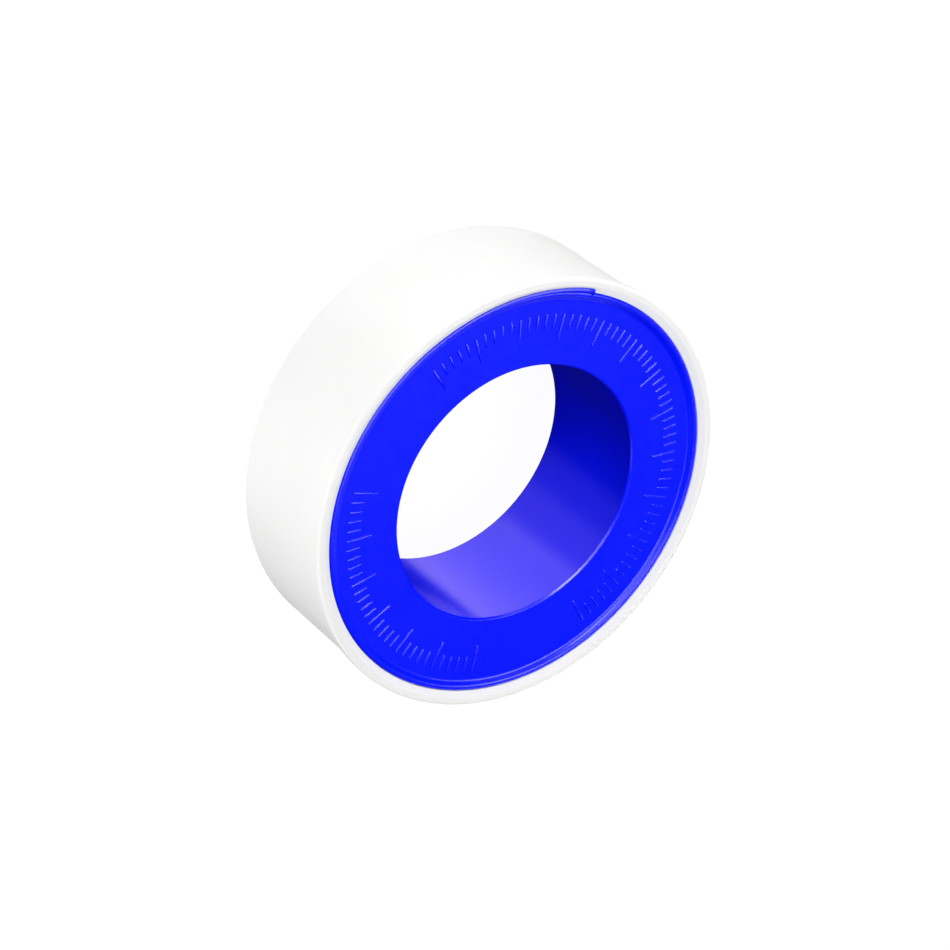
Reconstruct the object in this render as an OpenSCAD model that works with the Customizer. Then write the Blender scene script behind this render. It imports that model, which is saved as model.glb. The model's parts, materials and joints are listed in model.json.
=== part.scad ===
// Thread seal tape roll: a spool with one flange, wound with tape and closed in a cup-shaped cover.
// The roll lies on the back of its cover. Its axis is Z, and the flange faces up.
// The origin is on the axis, midway along the cover.

/* [Tape] */
// Width of the tape
tape_w = 12; // [6:0.5:25]
// Thickness of the tape
tape_thick = 0.075; // [0.05:0.005:0.2]
// Length of tape wound on the hub
tape_length = 10000; // [2000:500:20000]
// Air between the turns, as a share of the tape's thickness
turn_air_share = 0.05; // [0:0.01:0.3]

/* [Spool] */
// Diameter of the bore through the hub
bore_d = 29.7; // [20:0.1:40]
// Wall of the hub
hub_wall = 1.05; // [0.8:0.05:3]
// Step where the hub narrows to pass through the back of the cover
spigot_step = 0.35; // [0.2:0.05:0.45]
// How far the end of the hub lies inside the back face
hub_recess = 0.1; // [0.05:0.05:0.5]
// Bevel on both edges of the bore
bore_bevel = 0.2; // [0.1:0.05:0.3]
// Thickness of the flange
flange_thick = 1; // [0.8:0.1:3]
// How far the flange stands past the winding
flange_over = 0.88; // [0.8:0.01:4]
// Bevel on the back edge of the flange
flange_lead = 0.2; // [0.1:0.05:0.4]

/* [Edge bead] */
// Height of the bead along the edge of the flange
bead_h = 0.42; // [0.2:0.02:0.5]
// Radius of the bead's rounded top
bead_r = 0.6; // [0.52:0.02:0.7]
// How far the top of the bead lies inside the edge
bead_inset = 0.35; // [0.2:0.05:0.5]

/* [Lifting edge] */
// Angle at which the lifting edge ends, seen from the front
lift_turn = 67; // [0:1:360]
// Angle over which the edge climbs to that end
lift_arc = 48; // [30:1:80]
// How far the edge climbs in front of the bead
lift_rise = 0.52; // [0.4:0.02:1]
// How far the edge reaches out past the flange
lift_reach = 0.62; // [0.4:0.02:0.7]
// Width of its rounded outer edge
lift_round_w = 0.3; // [0.2:0.02:0.4]

/* [Cover] */
// Wall of the cover
cover_wall = 1; // [0.8:0.1:3]
// Back wall of the cover
back_wall = 1; // [0.8:0.1:3]
// Rounding of the back edge
back_round = 0.4; // [0.2:0.1:0.8]
// Taper of the wall towards the back, on the radius
draft = 0.08; // [0:0.02:0.3]
// How far the rim stands in front of the flange
rim_front = 0.8; // [0.7:0.05:1]
// How far the rim reaches in from the wall
rim_lip = 0.33; // [0.2:0.01:0.5]
// How far the rim stands out from the wall
rim_proud = 0.28; // [0.1:0.02:0.5]
// Length of the rim along the wall
rim_tall = 1.5; // [1.2:0.1:4]
// Rounding of the rim's outer edge
rim_round = 0.4; // [0.2:0.05:0.5]
// Width of the bevel on the rim's inner edge
rim_bevel_w = 0.73; // [0.4:0.01:0.8]
// Depth of the bevel on the rim's inner edge
rim_bevel_h = 0.45; // [0.3:0.05:0.6]

/* [Fits] */
// Radial clearance of the flange in the rim
rim_fit = 0.05; // [0.03:0.01:0.1]
// Gap between the lifting edge and the rim
lift_gap = 0.06; // [0.03:0.01:0.1]
// Radial clearance of the hub in the back of the cover
spigot_fit = 0.08; // [0.03:0.01:0.1]
// Radial clearance of the winding on the hub
wind_fit = 0.03; // [0.01:0.01:0.1]
// Gap between the shoulder of the hub and the back of the cover
seat_gap = 0.05; // [0.02:0.01:0.2]
// Gap on each side of the tape
side_gap = 0.5; // [0.3:0.05:1]

/* [Hidden] */
$fn = 128;

// Radii, from the bore outwards
bore_r = bore_d / 2;
hub_r = bore_r + hub_wall;
spigot_r = hub_r - spigot_step;
hole_r = spigot_r + spigot_fit;
wind_in_r = hub_r + wind_fit;
wind_area = tape_length * tape_thick * (1 + turn_air_share);
wind_r = sqrt(wind_in_r * wind_in_r + wind_area / PI);
flange_r = wind_r + flange_over;
rim_in_r = flange_r + rim_fit;
shell_in_r = rim_in_r + rim_lip;
shell_r = shell_in_r + cover_wall;
foot_r = shell_r - draft;
rim_r = shell_r + rim_proud;

// Places along the axis, from the back face of the cover
shoulder_d = back_wall + seat_gap;
tape_d = back_wall + side_gap;
flange_back_d = tape_d + tape_w + side_gap;
face_d = flange_back_d + flange_thick;
crest_d = face_d + bead_h;
cover_len = face_d + rim_front;
collar_d = cover_len - rim_tall;

// Middle of the bead's round
bead_mid_r = flange_r - bead_inset;
bead_mid_d = crest_d - bead_r;

// The lifting edge is part of a tilted dish, and its outer edge is as round as the bead that it starts from
// The dish is set off centre, so that it reaches out where it is highest
// Its inside slopes down to the top of the bead, which runs on past its end
lift_slope_w = lift_reach + bead_inset - lift_round_w;
lift_shift = lift_slope_w / sin(lift_arc);
lift_tilt = atan(lift_rise / (flange_r * sin(lift_arc)));
lift_dish_r = bead_mid_r + lift_round_w;
lift_dish_w = lift_slope_w + lift_round_w + bead_r;
lift_dish_fall = (lift_dish_w - lift_round_w) * lift_rise / lift_slope_w;
lift_dish_h = lift_dish_fall + flange_thick;
lift_top_d = crest_d + lift_rise + bead_h;

// The last turn of the tape lies loose round the winding, and its free end stands off a little more
end_start_share = 0.36;
end_rise_share = 0.22;
end_turn = 150;
end_arc = 345;
end_steps = 115;

// Puts what is drawn from the back face upwards round the middle of the cover
module from_middle() {
    translate([0, 0, -cover_len / 2])
        children();
}

// Half section of the cover: back wall, tapered wall, and rim with a rounded outer edge
module cover_section() {
    polygon([
        [hole_r, 0],
        [foot_r - back_round, 0],
        [foot_r, back_round],
        [shell_r, collar_d],
        [rim_r, collar_d + rim_proud],
        [rim_r, cover_len - rim_round],
        [rim_r - rim_round, cover_len],
        [rim_in_r + rim_bevel_w, cover_len],
        [rim_in_r, cover_len - rim_bevel_h],
        [rim_in_r, flange_back_d],
        [shell_in_r, flange_back_d - rim_lip],
        [shell_in_r, back_wall],
        [hole_r, back_wall]
    ]);
    translate([foot_r - back_round, back_round])
        circle(r = back_round);
    translate([rim_r - rim_round, cover_len - rim_round])
        circle(r = rim_round);
}

// Half section of the hub and the flange, without the bead
module spool_section() {
    polygon([
        [bore_r + bore_bevel, hub_recess],
        [spigot_r, hub_recess],
        [spigot_r, shoulder_d],
        [hub_r, shoulder_d],
        [hub_r, flange_back_d],
        [flange_r - flange_lead, flange_back_d],
        [flange_r, flange_back_d + flange_lead],
        [flange_r, face_d],
        [bore_r + bore_bevel, face_d],
        [bore_r, face_d - bore_bevel],
        [bore_r, hub_recess + bore_bevel]
    ]);
}

// Half section of the bead, a round cut off at the edge of the flange
module bead_section() {
    intersection() {
        translate([bead_mid_r, bead_mid_d])
            circle(r = bead_r);
        translate([0, face_d - flange_thick / 2])
            square([flange_r, flange_thick]);
    }
}

// Half section of the room that the lifting edge takes up, from the inside of the bead outwards
module lift_section() {
    polygon([
        [bead_mid_r - bead_r, face_d],
        [flange_r + lift_reach, face_d],
        [flange_r + lift_reach, lift_top_d],
        [bead_mid_r - bead_r, lift_top_d]
    ]);
}

// Half section of the room that the rim takes up beside and under the lifting edge
module rim_room_section() {
    polygon([
        [flange_r, flange_back_d],
        [flange_r, cover_len - rim_bevel_h + lift_gap],
        [rim_in_r, cover_len - rim_bevel_h + lift_gap],
        [rim_in_r + rim_bevel_w, cover_len + lift_gap],
        [rim_r, cover_len + lift_gap],
        [rim_r, flange_back_d]
    ]);
}

// Half section of the dish, with a sloping inside and a rounded outer edge
module dish_section() {
    polygon([
        [lift_dish_r - lift_dish_w, -lift_dish_fall],
        [lift_dish_r - lift_round_w, 0],
        [lift_dish_r - lift_round_w, -lift_dish_h],
        [lift_dish_r - lift_dish_w, -lift_dish_h]
    ]);
    intersection() {
        translate([lift_dish_r - lift_round_w, -bead_r])
            circle(r = bead_r);
        translate([lift_dish_r - lift_round_w, -bead_r])
            square([lift_round_w, bead_r]);
    }
}

// The dish, tilted about the line where the lifting edge starts, so that it climbs towards its end
module lift_dish() {
    translate([0, 0, crest_d])
        rotate([-lift_tilt, 0, lift_turn + lift_arc])
            translate([0, -lift_shift, 0])
                rotate_extrude()
                    dish_section();
}

// The stretch of the flange's edge that climbs out over the rim and ends square
module lifting_edge() {
    difference() {
        intersection() {
            rotate(lift_turn)
                rotate_extrude(angle = lift_arc)
                    lift_section();
            lift_dish();
        }
        rotate_extrude()
            rim_room_section();
    }
}

// Radius of the loose turn's inner face at a share of its length
function end_r(share) = wind_r + flange_over * (end_start_share + end_rise_share * share * share);

// A point of the loose turn at a share of its length
function end_point(share, out) =
    let (a = end_turn + end_arc * share, r = end_r(share) + out)
    [r * cos(a), r * sin(a)];

// White cup that holds the spool, with a hole in its back wall for the end of the hub
module cover() {
    color("white")
        from_middle()
            rotate_extrude()
                cover_section();
}

// Blue hub and flange in one piece
module spool() {
    color([0.02, 0.06, 0.98])
        from_middle() {
            rotate_extrude()
                union() {
                    spool_section();
                    bead_section();
                }
            lifting_edge();
        }
}

// The wound turns of the tape, drawn as one ring of their real area
module tape_winding() {
    color([0.93, 0.93, 0.92])
        from_middle()
            rotate_extrude()
                translate([wind_in_r, tape_d])
                    square([wind_r - wind_in_r, tape_w]);
}

// The last turn of the tape, with its free end
module tape_end() {
    shares = [for (i = [0 : end_steps]) i / end_steps];
    color([0.96, 0.96, 0.95])
        from_middle()
            translate([0, 0, tape_d])
                linear_extrude(height = tape_w)
                    polygon(concat(
                        [for (s = shares) end_point(s, tape_thick)],
                        [for (s = shares) end_point(1 - s, 0)]
                    ));
}

cover();
spool();
tape_winding();
tape_end();
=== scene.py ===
"""Thread seal tape roll: the looks of the spool, the cover and the tape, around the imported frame."""
import json
import math
import random

import bpy
from mathutils import Matrix, Vector


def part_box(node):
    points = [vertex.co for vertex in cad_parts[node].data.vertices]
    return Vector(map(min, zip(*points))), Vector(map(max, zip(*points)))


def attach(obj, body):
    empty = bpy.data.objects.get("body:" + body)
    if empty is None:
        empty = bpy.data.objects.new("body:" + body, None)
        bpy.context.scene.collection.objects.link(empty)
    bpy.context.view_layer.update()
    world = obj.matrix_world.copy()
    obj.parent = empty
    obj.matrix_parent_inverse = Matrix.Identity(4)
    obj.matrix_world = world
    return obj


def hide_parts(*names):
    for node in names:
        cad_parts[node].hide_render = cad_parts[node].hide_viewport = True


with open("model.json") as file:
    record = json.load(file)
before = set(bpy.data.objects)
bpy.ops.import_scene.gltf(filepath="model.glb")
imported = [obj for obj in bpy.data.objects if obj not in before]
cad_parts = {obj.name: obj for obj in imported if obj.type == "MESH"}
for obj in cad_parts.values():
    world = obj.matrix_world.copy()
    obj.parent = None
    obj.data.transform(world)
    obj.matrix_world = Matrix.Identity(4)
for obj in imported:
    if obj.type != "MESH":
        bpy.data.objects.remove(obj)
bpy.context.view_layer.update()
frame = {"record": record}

MM = 0.001

# Sizes that the frame gives
# The roll lies on the back of its cover, with its axis along Z
COVER_LOW, COVER_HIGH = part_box("cover")
WIND_LOW, WIND_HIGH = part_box("tape_winding")
BORE = next(m for m in frame["record"]["mounts"] if m["name"] == "bore")
BORE_R = BORE["dims"]["r_mm"] * MM
RIM_R = COVER_HIGH.x
BACK_Z = COVER_LOW.z
COVER_LEN = COVER_HIGH.z - BACK_Z
WIND_R = WIND_HIGH.x
TAPE_D = WIND_LOW.z - BACK_Z
TAPE_W = WIND_HIGH.z - WIND_LOW.z

# Sizes of the spool
HUB_WALL = 1.05 * MM
SPIGOT_STEP = 0.35 * MM
HUB_RECESS = 0.1 * MM
BORE_BEVEL = 0.2 * MM
FLANGE_THICK = 1.0 * MM
FLANGE_OVER = 0.88 * MM
FLANGE_LEAD = 0.2 * MM
EDGE_ROUND = 0.04 * MM

# The bead along the flange's edge, with a soft inner side
BEAD_H = 0.42 * MM
BEAD_R = 0.6 * MM
BEAD_INSET = 0.35 * MM
BEAD_STEPS = 9
BEAD_SIDE_W = 0.75 * MM
BEAD_SIDE_STEPS = 2 * BEAD_STEPS

# Points on the flat face beside the bead, which keep the shading there flat
FACE_POINTS = 3
FACE_POINT_GAP = 0.14 * MM

# The lifting edge, which climbs out over the rim, with its angles seen from the front
# LIFT_START is the share of its slope that lies on the bead, before the climb
# LIFT_JOIN is the reach over which the flange's plain side becomes the lip's underside
LIFT_END = math.radians(67)
LIFT_ARC = math.radians(48)
LIFT_END_FADE = math.radians(1.0)
LIFT_END_STEPS = 8
LIFT_RISE = 0.52 * MM
LIFT_REACH = 0.62 * MM
LIFT_ROUND_W = 0.3 * MM
LIFT_START = 0.33
LIFT_GAP = 0.06 * MM
LIFT_JOIN = 0.08 * MM

# Sizes of the cover
COVER_WALL = 1.0 * MM
BACK_WALL = 1.0 * MM
BACK_ROUND = 0.4 * MM
DRAFT = 0.08 * MM
RIM_LIP = 0.33 * MM
RIM_PROUD = 0.28 * MM
RIM_TALL = 1.5 * MM
RIM_ROUND = 0.4 * MM
RIM_BEVEL_W = 0.73 * MM
RIM_BEVEL_H = 0.45 * MM
RIM_FRONT = 0.8 * MM

# Fits and gaps
RIM_FIT = 0.05 * MM
SPIGOT_FIT = 0.08 * MM
WIND_FIT = 0.03 * MM
SEAT_GAP = 0.05 * MM

# The wound turns, whose edges show as bands on the back, each with a groove and a crest
BAND_COUNT = 42
BAND_GROOVE = 0.05 * MM
BAND_SPREAD = 0.05 * MM
GROOVE_SHARE = 0.12
CREST_SHARE = 0.5
EDGE_SOFT = 0.05 * MM

# The loose last turn: its course, then the size and the number of its waves, then its fineness
TAPE_THICK = 0.075 * MM
END_START_SHARE = 0.36
END_RISE_SHARE = 0.22
END_TURN = math.radians(150)
END_ARC = math.radians(345)
END_LEAD_SHARE = 0.12
END_START_GAP = 0.05 * MM
END_RIPPLE = 0.03 * MM
END_CURL = 0.04 * MM
END_WANDER = 0.05 * MM
END_RIPPLES = 9
END_RIPPLE_LAG = 2.2
END_CURLS = 5
END_WANDERS = 3
END_STEPS = 360
END_ROWS = 12

# The raised ticks on the flange, in bands of (outer radius, first degree, last degree, ticks)
MARK_BANDS = ((20.8 * MM, 120, -65, 61), (21.2 * MM, 162, 254, 31))
MARK_LONG = 3.2 * MM
MARK_SHORT = 1.8 * MM
MARK_LONG_EVERY = 5
MARK_W = 0.34 * MM
MARK_H = 0.15 * MM
MARK_SUNK = 0.05 * MM
MARK_RINGS = 4
MARK_ROUND = 6

# Derived radii and places along the axis, counted from the back face
HUB_R = BORE_R + HUB_WALL
SPIGOT_R = HUB_R - SPIGOT_STEP
FLANGE_R = WIND_R + FLANGE_OVER
CREST_R = FLANGE_R - BEAD_INSET
RIM_IN_R = FLANGE_R + RIM_FIT
SHELL_IN_R = RIM_IN_R + RIM_LIP
SHELL_R = SHELL_IN_R + COVER_WALL
FACE_D = COVER_LEN - RIM_FRONT
FLANGE_BACK_D = FACE_D - FLANGE_THICK
CREST_D = FACE_D + BEAD_H
LIFT_SLOPE_W = LIFT_REACH + BEAD_INSET - LIFT_ROUND_W

# How far the edge of each band of turns stands in from the side of the winding
BAND_SEED = 7
DRAW = random.Random(BAND_SEED)
BAND_OFFSETS = [DRAW.uniform(0, BAND_SPREAD) for _ in range(BAND_COUNT)]

# Fineness of the meshes
# CORNER_ROOM is the share of a side that a rounded corner can take up
TURN_STEPS = 480
TAPE_STEPS = 240
CORNER_STEPS = 6
CORNER_ROOM = 0.45
SUPPORT = 0.06 * MM
SHARP = math.radians(32)

# The camera at the photograph's viewing angle, with pixels counted in a square picture
IMAGE_SIDE_PX = 950
FOCAL_PX = 3500
RIM_CENTRE_PX = (520.8, 496.7)
RIM_PLANE_D = COVER_LEN - 0.05 * MM
CAMERA_DISTANCE = 370.4 * MM
CAMERA_TURN = math.radians(33.01)
CAMERA_ELEVATION = math.radians(30.34)
CAMERA_CLIP = 0.01
SENSOR_MM = 36

# Materials, with each noise in cells a metre
NOISE_DETAIL = 3.0
NOISE_LOW = 0.3
NOISE_HIGH = 0.7
LOOKS = {
    "blue_plastic": {
        "mottle": 90,
        "colours": ((0.0, 0.004, 0.78), (0.0, 0.006, 0.83)),
        "gloss": 700,
        "roughness": (0.24, 0.27),
        "grain": 1500,
        "grain_depth": 0.004 * MM,
        "grain_strength": 0.1,
        "specular": 0.5,
    },
    "white_plastic": {
        "mottle": 60,
        "colours": ((0.87, 0.87, 0.865), (0.91, 0.91, 0.905)),
        "gloss": 400,
        "roughness": (0.42, 0.52),
        "grain": 1800,
        "grain_depth": 0.02 * MM,
        "grain_strength": 0.4,
        "specular": 0.3,
    },
    "tape_film": {
        "mottle": 150,
        "colours": ((0.88, 0.88, 0.87), (0.94, 0.94, 0.935)),
        "gloss": 500,
        "roughness": (0.45, 0.6),
        "grain": 900,
        "grain_depth": 0.02 * MM,
        "grain_strength": 0.4,
        "specular": 0.5,
    },
}

# Lamps, which all hang at one distance
# Each row has a name, the pieces that it lights, its direction, width, height, power and colour
LAMP_DISTANCE = 0.5
NEUTRAL = (1, 1, 1)
LILAC = (1, 0.76, 1)
LAMPS = (
    ("blue_key", "blue", (-0.15, 0.72, 0.68), 0.20, 0.20, 1.9, NEUTRAL),
    ("blue_overhead", "blue", (-0.20, 0.15, 0.96), 0.25, 0.25, 0.5, NEUTRAL),
    ("blue_front", "blue", (0.12, -0.20, 0.97), 0.20, 0.20, 0.5, NEUTRAL),
    ("blue_camera_side", "blue", (-0.53, 0.49, 0.69), 0.20, 0.20, 0.6, NEUTRAL),
    ("blue_strip", "blue", (0.47, 0.08, 0.88), 0.26, 0.26, 1.1, NEUTRAL),
    ("blue_low_front", "blue", (0.60, -0.80, 0.05), 0.40, 0.40, 0.25, NEUTRAL),
    ("blue_bevel_left", "blue", (-0.72, -0.50, 0.47), 0.12, 0.12, 0.08, NEUTRAL),
    ("blue_bevel_right", "blue", (0.96, -0.22, -0.16), 0.15, 0.15, 0.12, NEUTRAL),
    ("blue_bevel_back", "blue", (0.47, 0.72, 0.50), 0.15, 0.15, 0.15, NEUTRAL),
    ("blue_bore", "blue", (0.335, 0.630, -0.70), 0.67, 0.30, 1.15, LILAC),
    ("blue_bore_left", "blue", (-0.41, 0.585, -0.70), 0.30, 0.30, 0.14, LILAC),
    ("blue_bore_far", "blue", (-0.563, 0.44, -0.70), 0.50, 0.30, 0.12, LILAC),
    ("white_front", "white", (0.4, -0.3, 0.87), 0.30, 0.30, 1.75, NEUTRAL),
    ("white_top", "white", (0.0, 1.0, 0.0), 0.30, 0.30, 0.75, NEUTRAL),
    ("white_top_right", "white", (0.64, 0.77, 0.0), 0.30, 0.30, 2.1, NEUTRAL),
    ("white_upper_left", "white", (-0.55, 0.50, 0.67), 0.30, 0.30, 1.0, NEUTRAL),
    ("white_left", "white", (-0.98, 0.12, 0.0), 0.30, 0.30, 1.7, NEUTRAL),
    ("white_low_left", "white", (-0.75, -0.66, 0.0), 0.30, 0.30, 0.5, NEUTRAL),
    ("white_low_right", "white", (0.47, -0.88, 0.0), 0.30, 0.30, 0.5, NEUTRAL),
    ("white_back", "white", (0.0, -0.2, -1.0), 0.30, 0.30, 1.5, NEUTRAL),
)

# The backdrop, as it lights the roll and as the camera sees it, and the floor
PURE_WHITE = (1, 1, 1, 1)
WORLD_STRENGTH = 0.01
BACKDROP_STRENGTH = 1.05
FLOOR_HALF = 3.0
FLOOR_MOTTLE = 5
FLOOR_COLOURS = ((0.10, 0.10, 0.10), (0.11, 0.11, 0.11))
FLOOR_ROUGHNESS = 0.9
FLOOR_GLOW = 0.95


def to_frame(r, angle, d):
    """A point at a radius, an angle seen from the front and a distance from the back face."""
    return Vector((r * math.cos(angle), r * math.sin(angle), BACK_Z + d))


def rounded(corners, tail=()):
    """An outline of (r, d, radius) corners, each an arc between support points, and then a plain tail."""
    points = []
    count = len(corners)
    for i, (r, d, radius) in enumerate(corners):
        here = Vector((r, d))
        previous, following = corners[i - 1][:2], corners[(i + 1) % count][:2]
        if tail and i == 0:
            previous = tail[-1]
        if tail and i == count - 1:
            following = tail[0]
        before, after = Vector(previous) - here, Vector(following) - here
        room = CORNER_ROOM * min(before.length, after.length)
        before.normalize()
        after.normalize()
        turn = before.angle(after)
        reach = min(radius / math.tan(turn / 2), room)
        radius = reach * math.tan(turn / 2)
        start, stop = here + before * reach, here + after * reach
        middle = here + (before + after).normalized() * (radius / math.sin(turn / 2))
        gap = min(SUPPORT, (room - reach) / 2 + SUPPORT / 10)
        points.append(start + before * gap)
        first, last = start - middle, stop - middle
        swing = first.angle_signed(last)
        for k in range(CORNER_STEPS + 1):
            points.append(middle + Matrix.Rotation(-swing * k / CORNER_STEPS, 2) @ first)
        points.append(stop + after * gap)
    return points + list(tail)


def mesh_object(name, verts, faces):
    """A smooth mesh object with its faces turned outwards."""
    mesh = bpy.data.meshes.new(name)
    mesh.from_pydata(verts, [], faces)
    mesh.validate()
    mesh.shade_smooth()
    mesh.set_sharp_from_angle(angle=SHARP)
    made = bpy.data.objects.new(name, mesh)
    bpy.context.scene.collection.objects.link(made)
    turn_outwards(mesh)
    return made


def turn_outwards(mesh):
    """Flips the faces of a closed mesh whose signed volume is negative."""
    mesh.calc_loop_triangles()
    volume = 0.0
    for t in mesh.loop_triangles:
        a, b, c = (mesh.vertices[v].co for v in t.vertices)
        volume += a.dot(b.cross(c))
    if volume < 0:
        mesh.flip_normals()


def turned(name, angles, sections):
    """A closed ring through an outline of (r, d) points at each angle, all with as many points."""
    verts, faces = [], []
    for angle, section in zip(angles, sections):
        verts += [to_frame(p[0], angle, p[1]) for p in section]
    steps = len(angles)
    count = len(verts) // steps
    for i in range(steps):
        j = (i + 1) % steps
        for k in range(count):
            n = (k + 1) % count
            faces.append((i * count + k, i * count + n, j * count + n, j * count + k))
    return mesh_object(name, verts, faces)


def even_angles(steps):
    """Angles of a whole turn in even steps."""
    return [2 * math.pi * i / steps for i in range(steps)]


def even_ring(name, section, steps):
    """A closed ring with the same outline all round."""
    return turned(name, even_angles(steps), [section] * steps)


def spool_angles():
    """Even steps round the spool, with finer ones where the lifting edge ends."""
    shares = [-1 / LIFT_END_STEPS] + [(k / LIFT_END_STEPS) ** 2 for k in range(LIFT_END_STEPS + 1)]
    fine = [LIFT_END + LIFT_END_FADE * share for share in shares]
    low, high = fine[0] - LIFT_END_FADE, fine[-1] + LIFT_END_FADE
    clear = [a for a in even_angles(TURN_STEPS) if not low < a < high]
    return sorted(clear + fine)


def lift_share(angle):
    """How high the lifting edge stands at an angle, from 0 to 1."""
    past = (angle - LIFT_END) % (2 * math.pi)
    if past > LIFT_ARC:
        return 0.0
    end = min(past / LIFT_END_FADE, 1.0)
    return math.sin(LIFT_ARC - past) / math.sin(LIFT_ARC) * math.sqrt(end * (2 - end))


def soft_step(part):
    """A smooth rise from 0 to 1."""
    return (1 - math.cos(math.pi * part)) / 2


def round_top(r, middle_r, top_d):
    """Height of a round of the bead's radius at r, from its middle and its top."""
    return top_d - BEAD_R + math.sqrt(max(BEAD_R ** 2 - (r - middle_r) ** 2, 0))


def edge_top(r, share):
    """Height of the flange's edge at a radius: on the bead, the climb or the lip's rounded edge."""
    start_r = CREST_R + LIFT_SLOPE_W * LIFT_START * share
    peak_r, peak_d = CREST_R + LIFT_SLOPE_W * share, CREST_D + LIFT_RISE * share
    if r <= start_r or share == 0:
        return round_top(r, CREST_R, CREST_D)
    if r >= peak_r:
        return round_top(r, peak_r, peak_d)
    start_d = round_top(start_r, CREST_R, CREST_D)
    return start_d + (peak_d - start_d) * soft_step((r - start_r) / (peak_r - start_r))


def rim_room(r):
    """Lowest place clear of the rim's bevel at a radius."""
    part = min(max((r - RIM_IN_R) / RIM_BEVEL_W, 0), 1)
    return COVER_LEN - RIM_BEVEL_H * (1 - part) + LIFT_GAP


def edge_side(out_r, top_d, lip):
    """The outer side below the edge's top: plain where lip is 0, the lip's underside where it is 1."""
    top = Vector((out_r, top_d))
    plain = [top - Vector((0, EDGE_ROUND * k)) for k in (4, 3, 2, 1)]
    low_d = min(rim_room(out_r), top.y - EDGE_ROUND)
    join_d = min(rim_room(FLANGE_R), low_d)
    under = [
        Vector((FLANGE_R, join_d - EDGE_ROUND)),
        Vector((FLANGE_R + EDGE_ROUND * lip, join_d)),
        Vector((out_r - EDGE_ROUND * lip, low_d)),
        Vector((out_r, (low_d + top.y) / 2)),
    ]
    return [a.lerp(b, lip) for a, b in zip(plain, under)]


def spool_edge(angle):
    """The flange's front edge at an angle, from its outer side over the lip and the bead to the face."""
    share = lift_share(angle)
    out_r = max(FLANGE_R, CREST_R + LIFT_SLOPE_W * share + LIFT_ROUND_W)
    lip = min((out_r - FLANGE_R) / LIFT_JOIN, 1.0)
    points = edge_side(out_r, edge_top(out_r, share), lip)
    peak_r = CREST_R + (LIFT_SLOPE_W * share if lip else BEAD_INSET / 2)
    for first_r, last_r in ((out_r, peak_r), (peak_r, CREST_R)):
        for k in range(BEAD_STEPS):
            r = first_r + (last_r - first_r) * k / BEAD_STEPS
            points.append(Vector((r, edge_top(r, share))))
    for k in range(BEAD_SIDE_STEPS):
        part = k / BEAD_SIDE_STEPS
        points.append(Vector((CREST_R - BEAD_SIDE_W * part, CREST_D - BEAD_H * soft_step(part))))
    for k in range(FACE_POINTS):
        points.append(Vector((CREST_R - BEAD_SIDE_W - FACE_POINT_GAP * k, FACE_D)))
    return points


def spool_section(angle):
    """Outline of the hub and the flange, with the edge bead or the lifting edge at this angle."""
    return rounded([
        (BORE_R + BORE_BEVEL, FACE_D, BORE_BEVEL / 2),
        (BORE_R, FACE_D - BORE_BEVEL, BORE_BEVEL / 2),
        (BORE_R, HUB_RECESS + BORE_BEVEL, BORE_BEVEL / 2),
        (BORE_R + BORE_BEVEL, HUB_RECESS, BORE_BEVEL / 4),
        (SPIGOT_R, HUB_RECESS, BORE_BEVEL / 2),
        (SPIGOT_R, BACK_WALL + SEAT_GAP, BORE_BEVEL / 4),
        (HUB_R, BACK_WALL + SEAT_GAP, BORE_BEVEL / 4),
        (HUB_R, FLANGE_BACK_D, FLANGE_LEAD),
        (FLANGE_R - FLANGE_LEAD, FLANGE_BACK_D, FLANGE_LEAD / 2),
        (FLANGE_R, FLANGE_BACK_D + FLANGE_LEAD, FLANGE_LEAD / 2),
    ], spool_edge(angle))


def cover_section():
    """Outline of the back wall, the tapered wall and the rim."""
    hole_r = SPIGOT_R + SPIGOT_FIT
    collar_d = COVER_LEN - RIM_TALL
    return rounded([
        (hole_r, 0, BACK_ROUND / 4),
        (SHELL_R - DRAFT, 0, BACK_ROUND),
        (SHELL_R, collar_d, RIM_PROUD / 2),
        (RIM_R, collar_d + RIM_PROUD, RIM_PROUD / 2),
        (RIM_R, COVER_LEN, RIM_ROUND),
        (RIM_IN_R + RIM_BEVEL_W, COVER_LEN, RIM_ROUND / 2),
        (RIM_IN_R, COVER_LEN - RIM_BEVEL_H, RIM_BEVEL_H / 4),
        (RIM_IN_R, FLANGE_BACK_D, RIM_LIP / 4),
        (SHELL_IN_R, FLANGE_BACK_D - RIM_LIP, RIM_LIP / 4),
        (SHELL_IN_R, BACK_WALL, BACK_ROUND / 2),
        (hole_r, BACK_WALL, BACK_ROUND / 4),
    ])


def winding_section():
    """Outline of the wound turns: plain but for the back, where the edges of the turns lie in bands."""
    inner = HUB_R + WIND_FIT
    step = (WIND_R - inner) / BAND_COUNT
    front = TAPE_D + TAPE_W
    back = []
    for i, offset in enumerate(BAND_OFFSETS):
        back.append((inner + step * (i + GROOVE_SHARE), TAPE_D + BAND_GROOVE + offset))
        back.append((inner + step * (i + CREST_SHARE), TAPE_D + offset))
    return [Vector(p) for p in back + [
        (WIND_R - EDGE_SOFT, TAPE_D + EDGE_SOFT / 4),
        (WIND_R, TAPE_D + EDGE_SOFT),
        (WIND_R, TAPE_D + TAPE_W / 2),
        (WIND_R, front - EDGE_SOFT),
        (WIND_R - EDGE_SOFT, front),
        (inner + EDGE_SOFT, front),
        (inner, front - EDGE_SOFT),
        (inner, TAPE_D + EDGE_SOFT),
    ]]


def end_radius(share):
    """Inner radius of the loose turn along its length: close to the winding, then clear of it."""
    rise = min(share / END_LEAD_SHARE, 1.0)
    rise = rise * rise * (3 - 2 * rise)
    start = WIND_R + END_START_GAP
    run = WIND_R + FLANGE_OVER * (END_START_SHARE + END_RISE_SHARE * share * share)
    return start + (run - start) * rise


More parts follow.
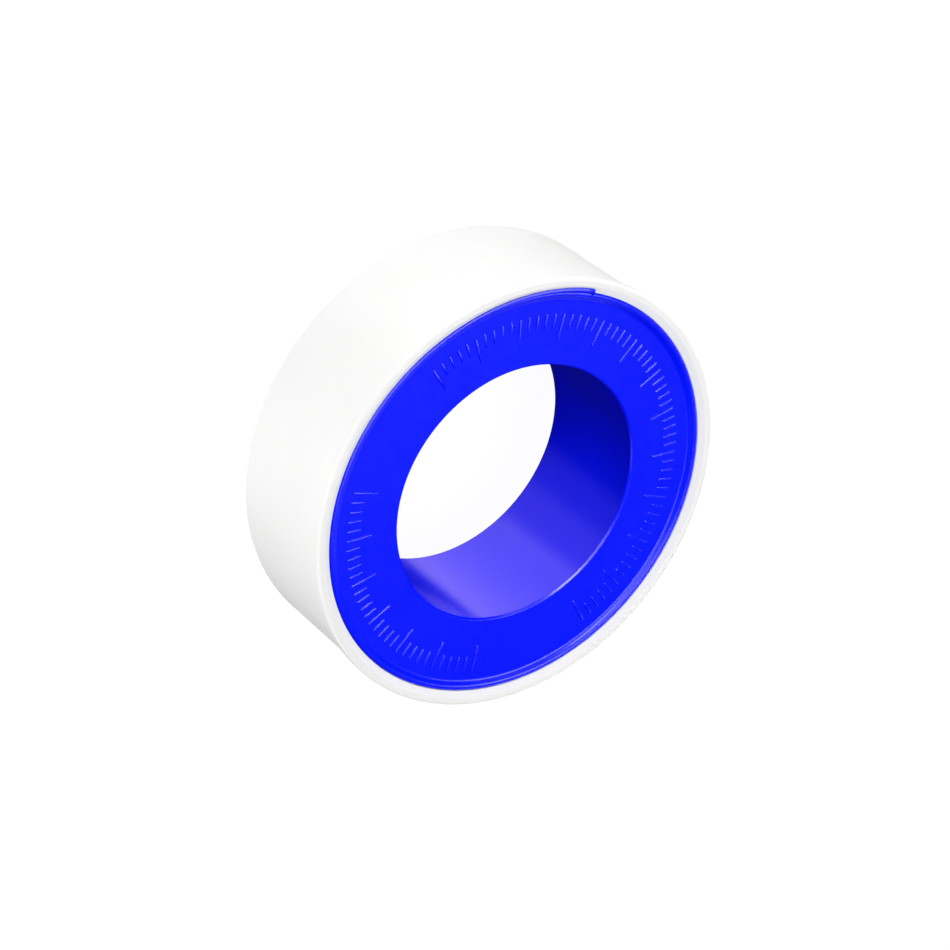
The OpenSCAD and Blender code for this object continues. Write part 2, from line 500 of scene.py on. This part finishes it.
def loose_point(share, w, out):
    """A point of the loose turn, at shares of its length and width, so far out from its inner face."""
    turn = END_ARC * share
    calm = min(share / END_LEAD_SHARE, 1.0)
    lag = END_RIPPLE_LAG * math.sin(math.pi * w)
    ripple = END_RIPPLE * calm * math.sin(turn * END_RIPPLES + lag)
    curl = END_CURL * (2 * w - 1) ** 2 * math.sin(turn * END_CURLS)
    wander = END_WANDER * (2 * w - 1) * math.sin(turn * END_WANDERS)
    r = end_radius(share) + out + ripple + curl * calm
    return to_frame(r, END_TURN + turn, TAPE_D + TAPE_W * w - wander)


def loose_turn(name):
    """The last turn of the tape as a thin strip with soft ripples and a free end."""
    verts, faces = [], []
    for out in (0, TAPE_THICK):
        for i in range(END_STEPS + 1):
            for k in range(END_ROWS + 1):
                verts.append(loose_point(i / END_STEPS, k / END_ROWS, out))
    row = END_ROWS + 1
    layer = (END_STEPS + 1) * row
    for i in range(END_STEPS):
        a, b = i * row, (i + 1) * row
        for k in range(END_ROWS):
            faces.append((a + k, a + k + 1, b + k + 1, b + k))
            faces.append((layer + a + k, layer + b + k, layer + b + k + 1, layer + a + k + 1))
        faces.append((a, b, layer + b, layer + a))
        a, b = a + END_ROWS, b + END_ROWS
        faces.append((a, layer + a, layer + b, b))
    for a in range(END_ROWS):
        faces.append((a, layer + a, layer + a + 1, a + 1))
    for a in range(END_STEPS * row, END_STEPS * row + END_ROWS):
        faces.append((a, a + 1, layer + a + 1, layer + a))
    return mesh_object(name, verts, faces)


def stroke(verts, faces, middle, along, length):
    """Adds one raised stroke with round ends on the face of the flange."""
    across = Vector((-along.y, along.x))
    half = length / 2 - MARK_W / 2
    rings = []
    for step in range(MARK_RINGS):
        tilt = math.pi / 2 * step / MARK_RINGS
        reach, rise = MARK_W / 2 * math.cos(tilt), MARK_H * math.sin(tilt)
        ring = []
        for k in range(2 * MARK_ROUND + 2):
            end = 1 if k <= MARK_ROUND else -1
            turn = math.pi * (k if end > 0 else k - 1) / MARK_ROUND - math.pi / 2
            forward, sideways = end * half + reach * math.cos(turn), reach * math.sin(turn)
            flat = middle + along * forward + across * sideways
            ring.append(len(verts))
            verts.append(Vector((flat.x, flat.y, BACK_Z + FACE_D + rise)))
        rings.append(ring)
    count = len(rings[0])
    sunk = []
    for k in rings[0]:
        sunk.append(len(verts))
        verts.append(verts[k] - Vector((0, 0, MARK_SUNK)))
    for low, high in zip([sunk] + rings, rings):
        for k in range(count):
            n = (k + 1) % count
            faces.append((low[k], low[n], high[n], high[k]))
    faces.append(tuple(rings[-1]))
    faces.append(tuple(reversed(sunk)))


def flange_marks(name):
    """Plain raised ticks in bands on the flange, with longer ones at even steps."""
    verts, faces = [], []
    for outer_r, first, last, count in MARK_BANDS:
        for i in range(count):
            angle = math.radians(first + (last - first) * i / (count - 1))
            out = Vector((math.cos(angle), math.sin(angle)))
            length = MARK_SHORT if i % MARK_LONG_EVERY else MARK_LONG
            stroke(verts, faces, out * (outer_r - length / 2), out, length)
    return mesh_object(name, verts, faces)


def make_camera():
    """The photograph's camera, with +Y up in the picture."""
    a, e = CAMERA_TURN, CAMERA_ELEVATION
    back = Vector((-math.sin(a) * math.cos(e), math.sin(e), math.cos(a) * math.cos(e)))
    right = Vector((math.cos(a), 0, math.sin(a)))
    up = back.cross(right)
    off_x, off_y = ((p - IMAGE_SIDE_PX / 2) / FOCAL_PX for p in RIM_CENTRE_PX)
    data = bpy.data.cameras.new("camera")
    data.sensor_width = SENSOR_MM
    data.lens = SENSOR_MM * FOCAL_PX / IMAGE_SIDE_PX
    data.clip_start = CAMERA_CLIP
    cam = bpy.data.objects.new("camera", data)
    turn = Matrix((right, up, back)).transposed().to_4x4()
    place = to_frame(0, 0, RIM_PLANE_D) + CAMERA_DISTANCE * (back - right * off_x + up * off_y)
    cam.matrix_world = Matrix.Translation(place) @ turn
    bpy.context.scene.collection.objects.link(cam)
    bpy.context.scene.camera = cam


def new_material(name):
    """A material with its Principled shader and its object coordinates."""
    made = bpy.data.materials.new(name)
    made.use_nodes = True
    nodes = made.node_tree.nodes
    shader = nodes["Principled BSDF"]
    place = nodes.new("ShaderNodeTexCoord")
    return made, shader, place.outputs["Object"]


def noise(made, place, per_metre):
    """A noise texture's grey value at so many cells a metre."""
    node = made.node_tree.nodes.new("ShaderNodeTexNoise")
    node.inputs["Scale"].default_value = per_metre
    node.inputs["Detail"].default_value = NOISE_DETAIL
    made.node_tree.links.new(place, node.inputs["Vector"])
    return node.outputs["Fac"]


def spread(made, value, low, high):
    """Maps a noise's grey value to a range."""
    node = made.node_tree.nodes.new("ShaderNodeMapRange")
    node.inputs["From Min"].default_value = NOISE_LOW
    node.inputs["From Max"].default_value = NOISE_HIGH
    node.inputs["To Min"].default_value = low
    node.inputs["To Max"].default_value = high
    made.node_tree.links.new(value, node.inputs["Value"])
    return node.outputs["Result"]


def two_colours(made, value, first, second):
    """A colour between two, by a grey value."""
    node = made.node_tree.nodes.new("ShaderNodeMix")
    node.data_type = "RGBA"
    node.inputs["A"].default_value = (*first, 1)
    node.inputs["B"].default_value = (*second, 1)
    made.node_tree.links.new(value, node.inputs["Factor"])
    return node.outputs["Result"]


def bump(made, height, depth, strength):
    """A normal from a height of so many metres."""
    node = made.node_tree.nodes.new("ShaderNodeBump")
    node.inputs["Distance"].default_value = depth
    node.inputs["Strength"].default_value = strength
    made.node_tree.links.new(height, node.inputs["Height"])
    return node.outputs["Normal"]


def dressed(name):
    """A material with a faint mottle, a slightly uneven gloss and a fine grain."""
    looks = LOOKS[name]
    made, shader, place = new_material(name)
    link = made.node_tree.links.new
    mottle = spread(made, noise(made, place, looks["mottle"]), 0, 1)
    link(two_colours(made, mottle, *looks["colours"]), shader.inputs["Base Color"])
    gloss = spread(made, noise(made, place, looks["gloss"]), *looks["roughness"])
    link(gloss, shader.inputs["Roughness"])
    grain = noise(made, place, looks["grain"])
    link(bump(made, grain, looks["grain_depth"], looks["grain_strength"]), shader.inputs["Normal"])
    shader.inputs["Specular IOR Level"].default_value = looks["specular"]
    return made


def make_lamps(lit):
    """Soft flat lamps round the roll, each of which lights only its own pieces."""
    for name, pieces, way, width, height, watts, colour in LAMPS:
        data = bpy.data.lights.new(name, "AREA")
        data.shape = "RECTANGLE"
        data.size = width
        data.size_y = height
        data.energy = watts
        data.color = colour
        lamp = bpy.data.objects.new(name, data)
        way = Vector(way).normalized()
        lamp.location = way * LAMP_DISTANCE
        lamp.rotation_mode = "QUATERNION"
        lamp.rotation_quaternion = way.to_track_quat("Z", "Y")
        lamp.visible_camera = False
        lamp.light_linking.receiver_collection = lit[pieces]
        bpy.context.scene.collection.objects.link(lamp)


def make_surround():
    """A white backdrop that hardly lights the roll."""
    world = bpy.data.worlds.new("surround")
    world.use_nodes = True
    nodes, link = world.node_tree.nodes, world.node_tree.links.new
    dim = nodes["Background"]
    dim.inputs["Color"].default_value = PURE_WHITE
    dim.inputs["Strength"].default_value = WORLD_STRENGTH
    seen = nodes.new("ShaderNodeBackground")
    seen.inputs["Color"].default_value = PURE_WHITE
    seen.inputs["Strength"].default_value = BACKDROP_STRENGTH
    path = nodes.new("ShaderNodeLightPath")
    mix = nodes.new("ShaderNodeMixShader")
    link(path.outputs["Is Camera Ray"], mix.inputs["Fac"])
    link(dim.outputs["Background"], mix.inputs[1])
    link(seen.outputs["Background"], mix.inputs[2])
    link(mix.outputs["Shader"], nodes["World Output"].inputs["Surface"])
    bpy.context.scene.world = world


def make_floor():
    """A plain pale floor under the roll, which meets the backdrop and takes a faint shadow."""
    half = FLOOR_HALF
    corners = [(-half, -half, 0), (half, -half, 0), (half, half, 0), (-half, half, 0)]
    mesh = bpy.data.meshes.new("floor")
    mesh.from_pydata(corners, [], [(0, 1, 2, 3)])
    floor = bpy.data.objects.new("floor", mesh)
    floor.location.z = BACK_Z
    bpy.context.scene.collection.objects.link(floor)
    made, shader, place = new_material("floor")
    colour = two_colours(made, noise(made, place, FLOOR_MOTTLE), *FLOOR_COLOURS)
    made.node_tree.links.new(colour, shader.inputs["Base Color"])
    shader.inputs["Roughness"].default_value = FLOOR_ROUGHNESS
    shader.inputs["Specular IOR Level"].default_value = 0.0
    shader.inputs["Emission Color"].default_value = PURE_WHITE
    shader.inputs["Emission Strength"].default_value = FLOOR_GLOW
    mesh.materials.append(made)
    floor.visible_diffuse = False
    floor.visible_glossy = False
    floor.visible_shadow = False
    return floor


def add_piece(piece, node, body, material):
    """Puts a finished piece in its CAD node's place."""
    piece.data.materials.append(material)
    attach(piece, body)
    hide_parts(node)


def light_group(name, pieces):
    """A collection of the pieces that some lamps light."""
    group = bpy.data.collections.new(name)
    for piece in pieces:
        group.objects.link(piece)
    return group


make_camera()
blue, white, film = dressed("blue_plastic"), dressed("white_plastic"), dressed("tape_film")
round_spool = spool_angles()
spool = turned("spool_moulding", round_spool, [spool_section(angle) for angle in round_spool])
add_piece(spool, "spool", "spool", blue)
cover = even_ring("cover_moulding", cover_section(), TURN_STEPS)
add_piece(cover, "cover", "cover", white)
wound = even_ring("tape_turns", winding_section(), TAPE_STEPS)
add_piece(wound, "tape_winding", "spool", film)
loose = loose_turn("tape_loose_turn")
add_piece(loose, "tape_end", "tape_end", film)
marks = flange_marks("flange_marks")
marks.data.materials.append(blue)
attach(marks, "spool")
floor = make_floor()
make_lamps({
    "blue": light_group("lit_blue", [spool, marks]),
    "white": light_group("lit_white", [cover, wound, loose, floor]),
})
make_surround()
bpy.context.scene.view_settings.view_transform = "Standard"
